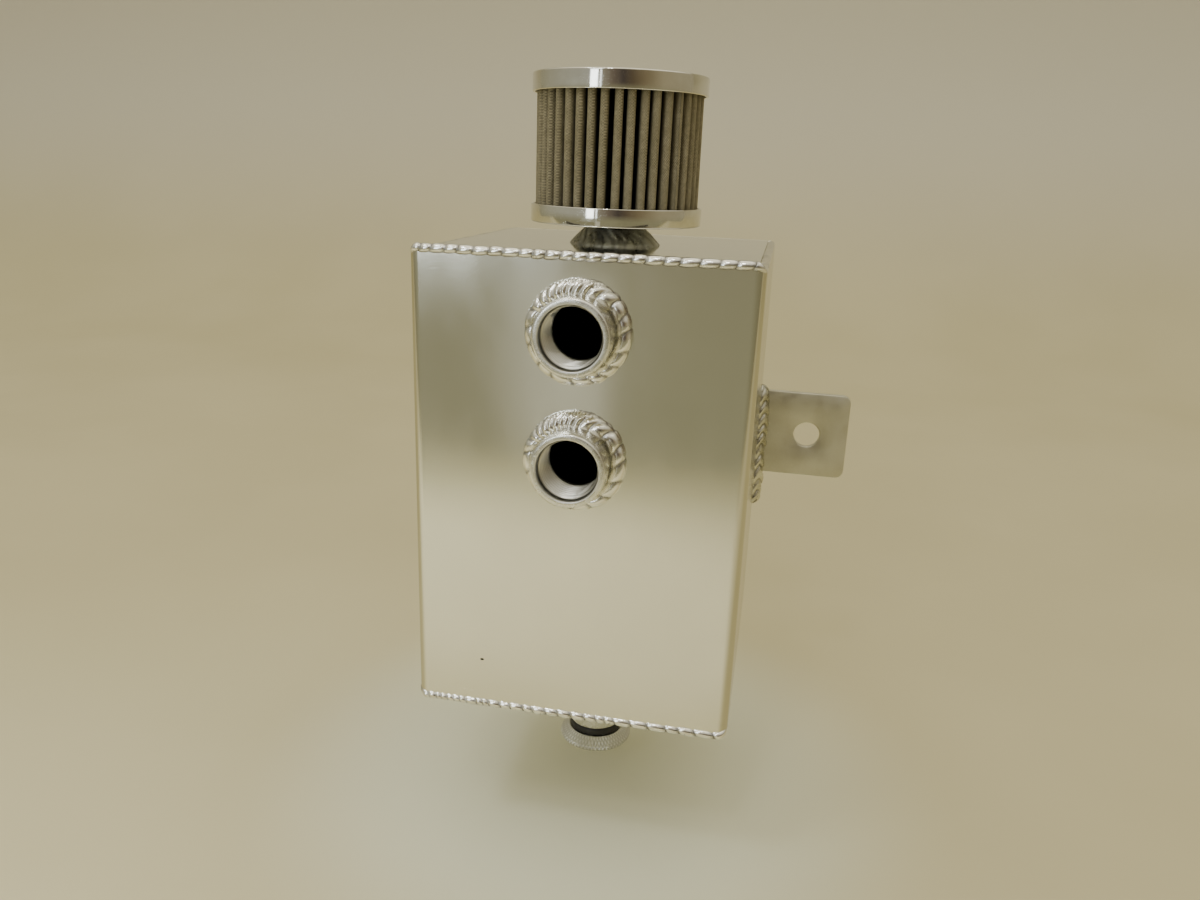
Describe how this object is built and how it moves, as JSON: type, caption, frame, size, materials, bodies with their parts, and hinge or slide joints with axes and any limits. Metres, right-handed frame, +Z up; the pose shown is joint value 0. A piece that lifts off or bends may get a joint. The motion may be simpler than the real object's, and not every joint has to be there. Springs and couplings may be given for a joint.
{
  "type": "hydraulic reservoir",
  "caption": "Welded aluminium box tank for fluid, with threaded side ports, a screw-in pleated breather filter, a knurled drain plug and flat mounting tabs.",
  "frame": {"origin": "centre of the rear mounting face, at half the tank's height", "axes": "+Y out of the rear mounting face, +Z up along the breather and the drain, +X to the right seen from the ports"},
  "size_m": [0.166, 0.111, 0.2313],
  "materials": {
    "tank_metal": "softly polished sheet, fine brushed grain",
    "weld_bead": "bright rippled weld bead",
    "turned_metal": "turned, fine concentric tool marks",
    "tab_metal": "dull mill finish",
    "plug_metal": "turned with a fine knurl",
    "filter_chrome": "bright pressed steel",
    "filter_steel": "plain steel",
    "filter_media": "tan gauze between fine wire meshes",
    "potting": "matt cast sealant",
    "seal_rubber": "satin black rubber"
  },
  "bodies": {
    "tank": {"tank_body": "tank_metal", "top_plate": "tank_metal", "bottom_plate": "tank_metal", "top_seam_weld": "weld_bead", "bottom_seam_weld": "weld_bead", "upper_port_bung": "turned_metal", "lower_port_bung": "turned_metal", "upper_port_weld": "weld_bead", "lower_port_weld": "weld_bead", "breather_bung": "turned_metal", "breather_bung_weld": "weld_bead", "drain_neck": "turned_metal", "drain_neck_weld": "weld_bead", "left_mounting_tab": "tab_metal", "right_mounting_tab": "tab_metal", "left_tab_weld": "weld_bead", "right_tab_weld": "weld_bead", "splash_baffle": "tab_metal", "baffle_tack_welds": "weld_bead"},
    "sealing_washer": {"breather_washer": "seal_rubber"},
    "breather_filter": {"filter_stem": "filter_steel", "filter_base_cap": "filter_chrome", "filter_top_cap": "filter_chrome", "filter_element": "filter_media", "filter_core_tube": "filter_steel", "lower_potting_ring": "potting", "upper_potting_ring": "potting"},
    "plug_seal": {"drain_seal": "seal_rubber"},
    "plug": {"drain_plug": "plug_metal"}
  },
  "joints": [
    {"name": "filter_lift", "type": "slide", "parent": "tank", "child": "sealing_washer", "axis": [0, 0, 1], "range_m": [0, 0.0076]},
    {"name": "filter_turn", "type": "hinge", "parent": "sealing_washer", "child": "breather_filter", "pos_m": [0, -0.05, 0.0775], "axis": [0, 0, 1], "range_deg": [0, 1800]},
    {"name": "plug_drop", "type": "slide", "parent": "tank", "child": "plug_seal", "axis": [0, 0, -1], "range_m": [0, 0.0121]},
    {"name": "plug_turn", "type": "hinge", "parent": "plug_seal", "child": "plug", "pos_m": [0, -0.05, -0.1065], "axis": [0, 0, -1], "range_deg": [0, 2880]}
  ],
  "couplings": [
    {"joint": "filter_lift", "follows": "filter_turn", "m_per_rad": 0.00023873},
    {"joint": "plug_drop", "follows": "plug_turn", "m_per_rad": 0.00023873}
  ]
}
